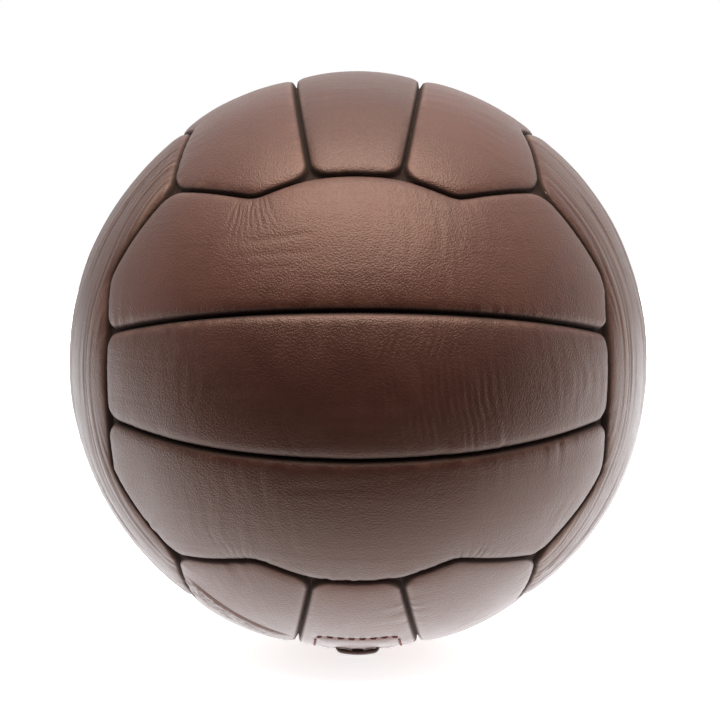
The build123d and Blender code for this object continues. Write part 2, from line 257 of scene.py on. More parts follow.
def lay_out(kind, step):
    """Everything about one kind of strip that its copies share: directions, distances from each seam."""
    near, far, left, right = STRIPS[kind]
    ends, halfway = np.array([0.0, 1.0]), np.array([0.5])
    near_corners, far_corners = near(ends), far(ends)
    start, end = on_ball(near_corners)
    low, high = on_ball(np.concatenate([near(halfway), far(halfway)]))
    s = rows_from_rim(BALL_RADIUS * math.acos(start @ end), step)
    t = rows_from_rim(BALL_RADIUS * math.acos(low @ high), step)
    S, T = np.meshgrid(s, t)
    S, T = S[..., None], T[..., None]
    places = (
        (1 - T) * near(s)[None]
        + T * far(s)[None]
        + (1 - S) * left(t)[:, None]
        + S * right(t)[:, None]
        - (1 - S) * (1 - T) * near_corners[0]
        - S * (1 - T) * near_corners[1]
        - (1 - S) * T * far_corners[0]
        - S * T * far_corners[1]
    )
    middle_place = places.mean(axis=(0, 1))
    places = middle_place + (places - middle_place) * STRIP_SHARES
    points = on_ball(places)
    seams = [
        seam_distance(points * BALL_RADIUS, seam, inward)
        for seam, inward in zip(STRIPS[kind], SEAM_INWARD)
    ]
    away = seams[0][0]
    for distance, _ in seams[1:]:
        away = rounded_least(away, distance)
    away = np.maximum(away, 0)
    closeness = sum(np.maximum(distance, 0.01) ** -PILLOW_CORNER for distance, _ in seams)
    return {
        "points": points,
        "seams": seams,
        "away": away,
        "pillow": np.minimum(closeness ** (-1 / PILLOW_CORNER), away),
        "x": BALL_RADIUS * np.arctan(places[..., 0]),
        "y": BALL_RADIUS * np.arcsin(points[..., 1]),
    }


LAYOUTS = {kind: lay_out(kind, ROW_STEP) for kind in STRIPS}
FINE_LAYOUTS = {kind: lay_out(kind, FINE_ROW_STEP) for kind in STRIPS}

# ---- the leather's shape, as heights over the ball ----
SHOULDER_WIDTH = 4.4
SHOULDER_DROP = 1.9
PUFF_FALL = 1.2
PUFF_REACH = 7.5
GROOVE_DEPTH = 1.3
GROOVE_HALF_WIDTH = 1.1
RIM_ZONE = 4.0  # nearer a seam than this, the leather stays outside the seam thread
SEAM_BOTTOM = 106.2
DEEPEST_CUT = 104.6
HIGHEST_CREASE = 1.4
STREAK_HEIGHT = 0.28
LIP_PITCH = 3.6


def rim_shape(layout):
    """The strip's shoulder rolls down into the seam, and its face falls a little towards every seam."""
    roll = np.clip(1 - layout["pillow"] / SHOULDER_WIDTH, 0, 1)
    groove = GROOVE_DEPTH * (1 - smooth(0, GROOVE_HALF_WIDTH, layout["away"]))
    shoulder = SHOULDER_DROP * (np.sqrt(1 - roll**2.4) - 1)
    return shoulder - PUFF_FALL * np.exp(-layout["pillow"] / PUFF_REACH) - groove


def gathers(layout, seed):
    """Short creases at right angles to the seams, where the thread draws the leather in."""
    total = 0
    for side, (away, along) in enumerate(layout["seams"]):
        near = np.exp(-np.maximum(away, 0) / 5.5)
        patchy = smooth(-0.25, 0.75, waves(along / 19, 0 * along + side, 0 * along, seed + 3))
        crease = waves(along / 2.3, away / 15, 0 * along + side, seed + 5)
        lips = np.sin(along * (2 * math.pi / LIP_PITCH)) * np.exp(-np.maximum(away, 0) / 1.5)
        total = total + 0.30 * near * patchy * crease + 0.06 * lips
    return total


def stretch_creases(layout, seed):
    """Fine ripples across the strip, in patches."""
    x, y = layout["x"], layout["y"]
    drift = 2.5 * waves(x / 22, y / 13, 0 * x, seed + 7)
    broad = waves((x + drift) / 2.6, y / 16, 0 * x, seed + 8)
    fine = waves((x + drift) / 1.5, y / 9, 0 * x, seed + 9)
    patchy = smooth(-0.1, 0.8, waves(x / 27, y / 24, 0 * x, seed + 10))
    return 0.07 * (broad + 0.6 * fine) * patchy


def ripples(layout, x, y, half_long, half_wide, depth, seed):
    """A patch of fine wavy ripples that run across the strip."""
    dx, dy = layout["x"] - x, layout["y"] - y
    drift = 0.12 * dy + 2.6 * waves(dx / 16, dy / 11, 0 * dx, seed)
    ridges = np.sin((dx + drift) * 2 * math.pi / 2.4) + 0.5 * waves(dx / 1.2, dy / 6, 0 * dx, seed + 1)
    inside = 1 - smooth(0.45, 1.0, np.hypot(dx / half_long, dy / half_wide))
    return depth * ridges * inside * smooth(-0.7, 0.5, waves(dx / 7, dy / 12, 0 * dx, seed + 2))


def fan(layout, x, y, toward, spread, reach, count, depth, seed):
    """A fan of creases that opens from a point towards one direction, given in degrees."""
    dx, dy = layout["x"] - x, layout["y"] - y
    distance = np.hypot(dx, dy)
    turn = np.angle(np.exp(1j * (np.arctan2(dy, dx) - math.radians(toward))))
    within = 1 - smooth(0.7, 1.0, np.abs(turn) / math.radians(spread))
    lengthwise = smooth(2.0, 5.0, distance) * (1 - smooth(0.45 * reach, reach, distance))
    wander = 0.9 * waves(distance / 6, 5 * turn, 0 * turn, seed)
    lengthwise = lengthwise * smooth(-0.9, 0.3, waves(distance / 9, 14 * turn, 0 * turn, seed + 1))
    ridge = np.abs(np.sin(turn * count / math.radians(spread) * math.pi / 2 + wander))
    return -depth * within * lengthwise * (1 - ridge) ** 1.6


def fold(layout, x0, y0, x1, y1, width, depth, ridge=0.0):
    """One soft crease from point to point, with a raised lip along its far side if asked."""
    length = math.hypot(x1 - x0, y1 - y0)
    ux, uy = (x1 - x0) / length, (y1 - y0) / length
    dx, dy = layout["x"] - x0, layout["y"] - y0
    along = dx * ux + dy * uy
    across = -dx * uy + dy * ux
    ends = smooth(-0.1 * length, 0.15 * length, along) * (1 - smooth(0.85 * length, 1.1 * length, along))
    lip = ridge * np.exp(-(((across - 1.6 * width) / width) ** 2))
    return ends * (lip - depth * np.exp(-((across / width) ** 2)))


def slit_and_lace_bed(layout):
    """The lace strip's middle: sunk round the lacing, slit down its length and punched for the lace."""
    x, y = layout["x"], layout["y"]
    sunk = -0.5 * (1 - smooth(8, 21, np.hypot(np.maximum(np.abs(x) - 38, 0), y)))
    slit = np.hypot(np.maximum(np.abs(x) - SLIT_REACH, 0), y)
    lips = 0.35 * np.exp(-(((slit - 2.6) / 1.0) ** 2))
    cut = -5.2 * (1 - smooth(SLIT_HALF_WIDTH - 0.3, SLIT_HALF_WIDTH + 0.25, slit))
    nearest_bar = np.clip(np.round(x / LACE_PITCH), -(LACE_BARS // 2), LACE_BARS // 2) * LACE_PITCH
    hole = np.maximum(np.abs(x - nearest_bar) - 2.4, np.abs(np.abs(y) - LACE_HOLE_SPREAD - 0.4) - 0.9)
    punched = -4.6 * (1 - smooth(-0.2, 0.45, hole))
    drawn_in = -0.35 * np.exp(-((np.maximum(hole, 0) / 1.6) ** 2))
    tense = 0.28 * np.sin(x * 2 * math.pi / LACE_PITCH) * np.exp(-(((np.abs(y) - 10.5) / 3.0) ** 2))
    beyond = 1 - smooth(39, 43, np.abs(x))
    return sunk + lips * (cut > -1) + np.minimum(cut, punched) + drawn_in + tense * beyond


def stitch_row_distance(x, y):
    """How far places lie outside the row of stitches round the lacing."""
    half_width = STITCH_ROW_HALF_WIDTH * np.cos(x / BALL_RADIUS)
    over_x = np.abs(x) - (STITCH_ROW_HALF_LENGTH - STITCH_ROW_CORNER)
    over_y = np.abs(y) - (half_width - STITCH_ROW_CORNER)
    outside = np.hypot(np.maximum(over_x, 0), np.maximum(over_y, 0))
    return outside + np.minimum(np.maximum(over_x, over_y), 0) - STITCH_ROW_CORNER


def stitch_groove(layout):
    """The stitches pull a shallow groove into the leather, deepest where each one goes down."""
    x, y = layout["x"], layout["y"]
    off_row = stitch_row_distance(x, y)
    along = np.where(np.abs(x) > STITCH_ROW_HALF_LENGTH - STITCH_ROW_CORNER, y, x)
    pull = 0.75 + 0.25 * np.cos(along * 2 * math.pi / STITCH_PITCH)
    return -0.55 * pull * np.exp(-((off_row / 0.95) ** 2)) - 0.35 * np.exp(-((off_row / 3.2) ** 2))


def valve_hole(layout):
    """A round punched hole with a slightly raised, rolled edge."""
    away = np.hypot(layout["x"], layout["y"]) - VALVE_HOLE
    return 0.25 * np.exp(-(((away - 1.4) / 1.2) ** 2)) - 3.2 * (1 - smooth(-0.15, 0.5, away))


def lengthwise_streaks(name, layout):
    """How far a strip's face is drawn into long ridges along it, most of all beside the front face; the same
    values paint highlight on the ridges and shade in the troughs.
    """
    x, y = layout["x"], layout["y"]
    strength = 1.0 if name in STREAKED_STRIPS else 0.08
    wander = 3 * waves(x / 45, y / 20, 0 * x, 70)
    broad = waves(x / 60, (y + wander) / 2.1, 0 * x, 71)
    fine = waves(x / 40, (y + wander) / 1.1, 0 * x, 72)
    drawn = strength * 0.8 * (broad + fine) * smooth(-0.5, 0.4, waves(x / 50, y / 9, 0 * x, 73))
    if name == "bottom_left":
        # Past the crease, fine roughness that is also painted pale and dark as highlight and shade.
        drawn = drawn + 0.9 * beyond_crease(layout) * waves(x / 1.1, y / 1.1, 0 * x, 75)
    return drawn


def beyond_crease(layout):
    """Where the bottom left strip is rough: from 0 to 1, past its long slanting crease."""
    past = 36 - (layout["x"] - 0.625 * layout["y"])
    return smooth(0.5, 3.0, past) * (1 - smooth(14, 20, past)) * smooth(22, 30, layout["y"])


def stain(name, layout):
    """The one small dark spot, on the front's upper strip; every other strip is clean."""
    if name != "front_upper":
        return np.zeros_like(layout["x"])
    return 0.9 * np.exp(-(((layout["x"] - 80.8) ** 2 + (layout["y"] - 30.4) ** 2) / 0.5))


def own_marks(name, layout):
    """Creases that one strip has and the others don't."""
    if name == "front_upper":
        return (
            fan(layout, -46, 79, -74, 24, 38, 10, 0.40, 11)
            + fan(layout, 47, 76, -140, 40, 20, 6, 0.28, 12)
            + fold(layout, -40, 46, -16, 49, 1.1, 0.12)
            + fold(layout, -44, 41, -14, 43, 0.9, 0.09)
            + fold(layout, -36, 37, -20, 38, 0.9, 0.07)
            + ripples(layout, 28, 45, 18, 24, 0.05, 82)
        )
    if name == "front_lower":
        return (
            fan(layout, -48, 76, -70, 50, 24, 9, 0.30, 13)
            + fan(layout, 48, 76, -110, 50, 24, 9, 0.30, 14)
            + fold(layout, -20, 30, 25, 34, 1.6, 0.10)
        )
    if name == "front_middle":
        return ripples(layout, 24, -4, 32, 36, 0.085, 81) + fold(layout, 26, -16, 29, 10, 1.3, 0.08)
    if name == "bottom_left":
        rough = beyond_crease(layout) * waves(layout["x"] / 1.5, layout["y"] / 1.5, 0 * layout["x"], 74)
        return fold(layout, 52, 25, 74, 61, 0.9, 0.55, 0.5) + 0.16 * rough
    if name == "lace":
        return slit_and_lace_bed(layout) + stitch_groove(layout)
    if name == "top_middle":
        return valve_hole(layout)
    turn = sum(map(ord, name))
    side = 1 if turn % 2 else -1
    return fan(layout, 48 * side, 76, -90 - 30 * side, 42, 16 + turn % 9, 7, 0.26, turn)


def leather_height(name, layout, world, seed):
    """Height of a strip's outer face over the ball, in mm."""
    away = layout["away"]
    x, y, z = np.moveaxis(world, -1, 0)
    lumps = 0.55 * waves(x / 46, y / 46, z / 46, 21) + 0.22 * waves(x / 19, y / 19, z / 19, 22)
    if name == "lace":
        lumps = lumps * smooth(16, 30, np.hypot(np.maximum(np.abs(layout["x"]) - 36, 0), layout["y"]))
    grain = 0.008 * waves(x / 4.2, y / 4.2, z / 4.2, 23) + 0.007 * waves(x / 1.9, y / 1.9, z / 1.9, 24)
    face = smooth(0.4, 2.6, away)
    relief = gathers(layout, seed) * smooth(0.1, 1.4, away) + stretch_creases(layout, seed) * face
    relief = relief + STREAK_HEIGHT * np.clip(lengthwise_streaks(name, layout), -1.5, 1.0) * face
    marks = own_marks(name, layout) * smooth(0.2, 1.6, away)
    return rim_shape(layout) + lumps + grain * face + relief + marks


# ---- from heights to meshes ----
def face_turn(face, turned):
    """The rotation that carries a strip from the top of the ball to its face."""
    outward, along = (np.array(v, float) for v in FACES[face])
    across = np.cross(outward, along)
    if turned:
        along, across = -along, -across
    return np.stack([along, across, outward])


def write_mesh(name, points, quads, marks=None):
    """A piece from points in mm round the ball's centre and four-cornered faces."""
    mesh = bpy.data.meshes.new(name)
    mesh.from_pydata([], [], [])
    spot = (np.asarray(points).reshape(-1, 3) + (0, 0, CENTRE_HEIGHT)) * MM
    quads = np.asarray(quads, np.int32)
    mesh.vertices.add(len(spot))
    mesh.vertices.foreach_set("co", spot.ravel())
    mesh.loops.add(quads.size)
    mesh.loops.foreach_set("vertex_index", quads.ravel())
    mesh.polygons.add(len(quads))
    mesh.polygons.foreach_set("loop_start", np.arange(len(quads), dtype=np.int32) * 4)
    mesh.polygons.foreach_set("use_smooth", np.full(len(quads), True))
    for mark, values in (marks or {}).items():
        attribute = mesh.attributes.new(mark, "FLOAT", "POINT")
        attribute.data.foreach_set("value", np.ravel(values).astype(np.float32))
    mesh.update()
    mesh.validate()
    piece = bpy.data.objects.new(name, mesh)
    bpy.context.scene.collection.objects.link(piece)
    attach(piece, "root")
    return piece


def grid_quads(rows, columns, start=0, flip=False):
    """Faces between neighbouring points of a grid of rows."""
    index = start + np.arange(rows * columns).reshape(rows, columns)
    quads = np.stack([index[:-1, :-1], index[:-1, 1:], index[1:, 1:], index[1:, :-1]], -1).reshape(-1, 4)
    return quads[:, ::-1] if flip else quads


def edge_loop(rows, columns):
    """The grid's outer points in order, anticlockwise."""
    index = np.arange(rows * columns).reshape(rows, columns)
    return np.concatenate([index[0], index[1:, -1], index[-1, -2::-1], index[-2:0:-1, 0]])


def leather_strip(name, face, kind, turned, seed):
    """One sewn strip as a closed shell: outer face, turned-in edges and flesh side."""
    layout = (FINE_LAYOUTS if face == "front" else LAYOUTS)[kind]
    rows, columns = layout["away"].shape
    directions = layout["points"] @ face_turn(face, turned)
    height = leather_height(name, layout, directions * BALL_RADIUS, seed)
    deepest = np.where(layout["away"] > RIM_ZONE, DEEPEST_CUT, SEAM_BOTTOM)
    outer_radius = np.maximum(BALL_RADIUS + height, deepest)
    outer_radius = np.minimum(outer_radius, BALL_RADIUS + HIGHEST_CREASE)
    turned_in = layout["away"] < TURNED_EDGE + TURNED_EDGE_SLACK
    flesh_radius = np.where(turned_in, TURNED_EDGE_RADIUS, BALL_RADIUS - LEATHER)
    flesh_radius = np.minimum(flesh_radius, outer_radius - THINNEST_LEATHER)
    outer = directions * outer_radius[..., None]
    flesh = directions * flesh_radius[..., None]
    points = np.concatenate([outer.reshape(-1, 3), flesh.reshape(-1, 3)])
    loop = edge_loop(rows, columns)
    following = np.roll(loop, -1)
    below = rows * columns
    wall = np.stack([loop, loop + below, following + below, following], -1)
    quads = np.concatenate([grid_quads(rows, columns), grid_quads(rows, columns, below, flip=True), wall])
    inside = np.zeros(below)
    marks = {
        "seam_distance": np.tile(layout["away"].ravel(), 2),
        "hide": np.full(len(points), lattice(seed, 5, 9, 4) * 0.5 + 0.5),
        "flesh": np.repeat([0.0, 1.0], below),
        "stain": np.concatenate([stain(name, layout).ravel(), inside]),
        # Ridge heights, kept to paint highlight on the ridges and shade in the troughs.
        "streak_light_and_shade": np.concatenate([lengthwise_streaks(name, layout).ravel(), inside]),
    }
    piece = write_mesh(f"{name}_leather", points, quads, marks=marks)
    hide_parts(f"{name}_panel")
    return piece


strips = []
for face, sides in SIDE_STRIPS.items():
    middle_name = MIDDLE_NAMES.get(face, f"{face}_middle")
    strips.append(leather_strip(middle_name, face, "middle", False, FACE_SEEDS[face] + MIDDLE_SEED))
    for turned, side in enumerate(sides):
        seed = FACE_SEEDS[face] + SIDE_SEEDS[turned]
        strips.append(leather_strip(f"{face}_{side}", face, "side", bool(turned), seed))


# ---- lacing and stitching ----
BOTTOM = face_turn("bottom", False)
ACROSS = np.array([0.0, 1.0, 0.0])
THONG_SIDES = 28
THREAD_SIDES = 12


def leather_under(directions):
    """How high the lace strip's leather stands in these directions, seen from the ball's centre."""
    layout = LAYOUTS["middle"]
    grid = layout["points"].reshape(-1, 3)
    seed = FACE_SEEDS["bottom"] + MIDDLE_SEED
    height = leather_height("lace", layout, layout["points"] @ BOTTOM * BALL_RADIUS, seed).ravel()
    return height[np.argmax(directions @ grid.T, axis=1)]


def rings_to_quads(rings, around, start):
    """Faces round a run of rings, with both ends closed."""
    index = start + np.arange(rings * around).reshape(rings, around)
    following = np.roll(index, -1, axis=1)
    walls = np.stack([index[:-1], index[1:], following[1:], following[:-1]], -1).reshape(-1, 4)
    step = np.arange(around // 2 - 1)
    cap = np.stack([step, step + 1, around - 2 - step, around - 1 - step], -1)
    return np.concatenate([walls, index[0][cap], index[-1][cap][:, ::-1]])


def along_strip(angle):
    """Outward direction and direction along the strips, this many radians from the face's middle."""
    return np.array([math.sin(angle), 0, math.cos(angle)]), np.array([math.cos(angle), 0, -math.sin(angle)])


def bar_angle(number):
    """Where a bar of the lace lies along the strip, in radians from its middle."""
    return (number - (LACE_BARS - 1) / 2) * LACE_PITCH / BALL_RADIUS


def bar_path():
    """A bar seen along the slit: across, outward and which way its outer side faces, hole to hole."""
    top = BALL_RADIUS + LACE_RISE - LACE_THICK / 2 - LACE_BEND
    flat = LACE_HOLE_SPREAD - LACE_BEND
    climb = [(-LACE_HOLE_SPREAD, z, math.pi) for z in np.linspace(LACE_FOOT_RADIUS, top, 9)[:-1]]
    bend = [
        (LACE_BEND * math.cos(angle) - flat, top + LACE_BEND * math.sin(angle), angle)
        for angle in np.linspace(math.pi, math.pi / 2, 8)
    ]
    level = [(y, top + LACE_BEND, math.pi / 2) for y in np.linspace(-flat, flat, 26)[1:-1]]
    return climb + bend + level + [(-y, z, math.pi - angle) for y, z, angle in reversed(climb + bend)]


def thong_bar(number):
    """One bar of the lace: up through its hole, flat over the slit and down again."""
    outward, along = along_strip(bar_angle(number))
    section = np.linspace(0, 2 * math.pi, THONG_SIDES, endpoint=False)
    flat = np.sign(np.cos(section)) * np.abs(np.cos(section)) ** 0.35 * LACE_WIDTH / 2
    thick = np.sign(np.sin(section)) * np.abs(np.sin(section)) ** 0.55 * LACE_THICK / 2
    points, path = [], bar_path()
    for y, z, facing in path:
        z = z - LACE_CROWN * min(1, (y / LACE_HOLE_SPREAD) ** 2)
        up = outward * math.sin(facing) + ACROSS * math.cos(facing)
        worn = waves(np.array(y / 2.7), np.array(z / 2.7), np.array(number * 3.1), 61)
        width = 1 - 0.05 * abs(float(worn)) - 0.04 * smooth(5.5, 7.5, np.array(abs(y)))
        sway = 0.35 * float(waves(np.array(y / 7.0), np.array(0.5), np.array(number * 1.7), 62))
        nick = 0.05 * waves(section * 1.3, 0 * section + y / 1.1, 0 * section + number * 2.0, 63)
        nicked = thick - np.abs(nick) * (thick > 0)
        ring = along * (flat * width + sway)[:, None] + up * nicked[:, None]
        points.append(ring + ACROSS * y + outward * z)
    return np.concatenate(points), len(path), THONG_SIDES


def oval_ring(side, up, half_width, half_height, ripple=0.0, phase=0.0):
    """A ring of points round the origin in the plane of two directions, rippled if asked."""
    section = np.linspace(0, 2 * math.pi, THREAD_SIDES, endpoint=False)
    bulge = 1 + ripple * np.sin(section * 2 + phase)
    wide, high = np.cos(section) * half_width * bulge, np.sin(section) * half_height * bulge
    return side * wide[:, None] + up * high[:, None]


def join_runs(name, runs, node):
    """One piece from many runs of rings."""
    points, quads, start = [], [], 0
    for ring_points, rings, around in runs:
        points.append(ring_points)
        quads.append(rings_to_quads(rings, around, start))
        start += rings * around
    piece = write_mesh(name, np.concatenate(points) @ BOTTOM, np.concatenate(quads))
    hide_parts(node)
    return piece


def crossing(number):
    """The lace's run inside the ball, from one bar's hole to the next bar's."""
    low, high = bar_angle(number), bar_angle(number + 1)
    shares = np.linspace(-0.02, 1.02, 12)
    points = []
    for share in shares:
        outward, along = along_strip(low + (high - low) * share)
        run = unit(along * LACE_PITCH - ACROSS * 2 * LACE_HOLE_SPREAD)
        ring = oval_ring(np.cross(outward, run), outward, CROSSING_HALF_WIDTH, CROSSING_HALF_THICK)
        points.append(ring + outward * CROSSING_RADIUS + ACROSS * LACE_HOLE_SPREAD * (1 - 2 * share))
    return np.concatenate(points), len(shares), THREAD_SIDES


def stitch_places():
    """Where the stitches lie and which way they run: both long sides, both ends, and four corners."""
    half_length = STITCH_ROW_HALF_LENGTH / BALL_RADIUS
    half_width = STITCH_ROW_HALF_WIDTH / BALL_RADIUS
    row_along, row_across = math.tan(half_length), math.tan(half_width)
    corner = STITCH_ROW_CORNER / BALL_RADIUS * (1 - math.sin(math.radians(45)))
    long_count = round((2 * STITCH_ROW_HALF_LENGTH - 3 * STITCH_ROW_CORNER) / STITCH_PITCH)
    end_count = round((2 * STITCH_ROW_HALF_WIDTH - 3 * STITCH_ROW_CORNER) / STITCH_PITCH)
    places = []
    for side in (-1, 1):
        for i in range(long_count + 1):
            reach = (i - long_count / 2) * STITCH_PITCH / BALL_RADIUS
            places.append((math.tan(reach), side * row_across, (1, 0, 0)))
        for i in range(end_count + 1):
            reach = (i - end_count / 2) * STITCH_PITCH / BALL_RADIUS
            places.append((side * row_along, math.tan(reach) / math.cos(half_length), (0, 1, 0)))
        for way in (-1, 1):
            places.append((side * (row_along - corner), way * (row_across - corner), (1, -side * way, 0)))
    return places


def stitch(place_along, place_across, way, height, number):
    """One waxed stitch: it comes up out of the leather, lies flat and goes down again."""
    outward = unit(np.array([place_along, place_across, 1.0]))
    way = np.array(way, float)
    run = unit(way - outward * (outward @ way))
    side = np.cross(outward, run)
    slant = 0.10 * float(lattice(number, 3, 1, 9))
    shares = np.linspace(-1, 1, 15)
    points = []
    for share in shares:
        rise = STITCH_RISE - abs(share) ** 5 - STITCH_SUNK
        radius = STITCH_RADIUS * (1 - 0.25 * abs(share) ** 3)
        middle = outward * (BALL_RADIUS + height + rise) + (run * STITCH_HALF_LENGTH + side * slant) * share
        points.append(oval_ring(side, outward, radius, radius, 0.10, share * 9) + middle)
    return np.concatenate(points), len(shares), THREAD_SIDES


lace_runs = [thong_bar(n) for n in range(LACE_BARS)] + [crossing(n) for n in range(LACE_BARS - 1)]
lace_thong = join_runs("lace_thong", lace_runs, "lace")
spots = stitch_places()
spot_heights = leather_under(unit(np.array([(a, b, 1.0) for a, b, _ in spots])))
stitches = [
    stitch(along, across, way, float(height), number)
    for number, ((along, across, way), height) in enumerate(zip(spots, spot_heights))
]
stitch_row = join_runs("tongue_stitch_row", stitches, "tongue_stitching")


# ---- finishes ----
class Sum:
    """A node socket that can be used in sums."""

    def __init__(self, finish, socket):
        self.finish, self.socket = finish, socket

    def math(self, operation, first, second):
        return self.finish.node("ShaderNodeMath", {"operation": operation}, {0: first, 1: second})

    def __add__(self, other):
        return self.math("ADD", self, other)

    __radd__ = __add__

    def __sub__(self, other):
        return self.math("SUBTRACT", self, other)

    def __rsub__(self, other):
        return self.math("SUBTRACT", other, self)

    def __mul__(self, other):
        return self.math("MULTIPLY", self, other)

    __rmul__ = __mul__

    def between(self, low, high):
        """0 below low, 1 above high, and an even curve between."""
        sockets = {"Value": self, "From Min": low, "From Max": high}
        return self.finish.node("ShaderNodeMapRange", {"interpolation_type": "SMOOTHSTEP"}, sockets)


class Finish:
    """One material or world, built from sums of node sockets."""

    def __init__(self, name, holder=None):
        self.holder = holder or bpy.data.materials.new(name)
        self.holder.use_nodes = True
        self.tree = self.holder.node_tree
        self.shader = self.tree.nodes.get("Principled BSDF")

    def feed(self, socket, value):
        if isinstance(value, Sum):
            self.tree.links.new(value.socket, socket)
        elif isinstance(value, (tuple, list)):
            socket.default_value = (*value, 1.0) if len(socket.default_value) == 4 else value
        else:
            socket.default_value = value

    def node(self, kind, settings=None, sockets=None, out=0):
        made = self.tree.nodes.new(kind)
        for setting, value in (settings or {}).items():
            setattr(made, setting, value)
        for socket, value in (sockets or {}).items():
            self.feed(made.inputs[socket], value)
        return Sum(self, made.outputs[out])

    def colour(self, first, second, share):
        return self.node("ShaderNodeMix", {"data_type": "RGBA"}, {0: share, 6: first, 7: second}, 2)

    def mark(self, name):
        return self.node("ShaderNodeAttribute", {"attribute_name": name}, out="Fac")

    def place(self):
        return self.node("ShaderNodeTexCoord", out="Object")

    def parts(self, vector):
        """A vector's parts along x, y and z."""
        first = self.node("ShaderNodeSeparateXYZ", {}, {0: vector})
        return [Sum(self, socket) for socket in first.socket.node.outputs]

    def times(self, vector, scale):
        """A place or colour times three numbers, part by part."""
        return self.node("ShaderNodeVectorMath", {"operation": "MULTIPLY"}, {0: vector, 1: scale})

    def ray(self, kind):
        return self.node("ShaderNodeLightPath", out=f"Is {kind} Ray")

    def noise(self, place, scale, detail=3.0, rough=0.55):
        sockets = {"Vector": place, "Scale": scale, "Detail": detail, "Roughness": rough}
        return self.node("ShaderNodeTexNoise", {}, sockets)

    def cells(self, place, scale):
        return self.node("ShaderNodeTexVoronoi", {}, {"Vector": place, "Scale": scale})

    def bump(self, height, distance, strength, under=None):
        sockets = {"Height": height, "Distance": distance, "Strength": strength}
        if under is not None:
            sockets["Normal"] = under
        return self.node("ShaderNodeBump", {}, sockets)

    def set(self, **sockets):
        for socket, value in sockets.items():
            self.feed(self.shader.inputs[socket.replace("_", " ")], value)
        return self.holder


def panel_leather():
    """Oiled brown football leather: fine pebbled grain, dirt and painted shade in the seams, wear and a
    painted highlight on the seam lips, painted highlight and shade along the long ridges, paler where it is
    rubbed.
    """
    hide = Finish("panel_leather")
    place = hide.place()
    away = hide.mark("seam_distance")
    own = hide.mark("hide")
    flesh = hide.mark("flesh")
    patches = hide.noise(place, 26, 4, 0.6)
    mottle = hide.noise(place, 150, 5, 0.65)
    specks = hide.noise(place, 1500, 2, 0.5)
    pebbles = hide.cells(place, 1500)
    pores = hide.cells(place, 2400)
    streak_light_and_shade = hide.mark("streak_light_and_shade")
    tone = (patches * 0.55 + mottle * 0.35 + own * 0.30 - 0.12).between(0.15, 0.95)
    dyed = hide.colour((0.034, 0.0096, 0.0060), (0.070, 0.0208, 0.0128), tone)
    rubbed = (mottle * 0.8 + specks * 0.35 - 0.72).between(0.0, 0.3) * 0.22
    dyed = hide.colour(dyed, (0.13, 0.066, 0.047), rubbed)
    # Painted highlight: pale tan on the tops of the lengthwise ridges.
    dyed = hide.colour(dyed, (0.15, 0.092, 0.058), streak_light_and_shade.between(-0.1, 1.3) * 0.60)
    # Painted shade: near-black in the troughs between the ridges.
    dyed = hide.colour(dyed, (0.018, 0.006, 0.004), (1 - streak_light_and_shade.between(-1.2, -0.1)) * 0.65)
    dyed = hide.colour(dyed, (0.010, 0.0032, 0.0024), hide.mark("stain"))
    # Paler patches on the seam lips, just outside the grooves: wear, and a painted highlight along the lit
    # lips.
    rim = (1 - (away - LEATHER).between(0.0, 1.6)) * away.between(0.5, 1.5)
    lip_wear_and_highlight = rim * mottle.between(0.42, 0.7) * 0.30
    dyed = hide.colour(dyed, (0.12, 0.055, 0.038), lip_wear_and_highlight)
    # Near-black in the seam grooves: dirt, and painted shade where the grooves fall into shadow. The same
    # share also roughens them.
    seam_dirt_and_shade = (1 - away.between(0.35, 2.0)) * 0.94
    dyed = hide.colour(dyed, (0.006, 0.0028, 0.0022), seam_dirt_and_shade)
    dyed = hide.colour(dyed, (0.17, 0.10, 0.062), flesh)
    rough = 0.29 + patches * 0.12 + mottle * 0.12 + specks * 0.05 + seam_dirt_and_shade * 0.55 + flesh * 0.3
    grain = hide.bump(pebbles.between(0.1, 0.75), 0.00012, 0.5)
    grain = hide.bump(specks, 0.00007, 0.40, grain)
    grain = hide.bump(pores.between(0.0, 0.4), 0.00005, 0.35, grain)
    return hide.set(
        Base_Color=dyed, Roughness=rough, Normal=grain, IOR=1.55, Specular_Tint=(1.0, 0.70, 0.58)
    )


def thong_leather(name, pale, dark):
    """Matt leather with its fibres along the length, as in a thong or a cut tongue."""
    thong = Finish(name)
    place = thong.place()
    mottle = thong.noise(place, 260, 4, 0.6)
    fibres = thong.noise(thong.times(place, (900, 140, 900)), 1.0, 3, 0.6)
    dyed = thong.colour(dark, pale, (mottle * 0.6 + fibres * 0.5).between(0.3, 0.85))
    grain = thong.bump(fibres * 0.6 + thong.cells(place, 1300) * 0.5, 0.0002, 0.7)
    return thong.set(Base_Color=dyed, Roughness=0.5 + mottle * 0.25, Normal=grain)


def twisted_thread(name, pale, dark, scale):
    """Waxed thread with its twist."""
    thread = Finish(name)
    place = thread.place()
    slant = thread.times(place, (1.0, 0.8, 0.9))
    bands = {"wave_type": "BANDS", "bands_direction": "DIAGONAL"}
    twist = thread.node("ShaderNodeTexWave", bands, {"Vector": slant, "Scale": scale, "Distortion": 1.5})
    dirt = thread.noise(place, 300, 3)
    dyed = thread.colour(dark, pale, (twist * 0.5 + dirt * 0.6).between(0.2, 0.9))
    return thread.set(Base_Color=dyed, Roughness=0.6 + dirt * 0.2, Normal=thread.bump(twist, 0.0002, 0.6))


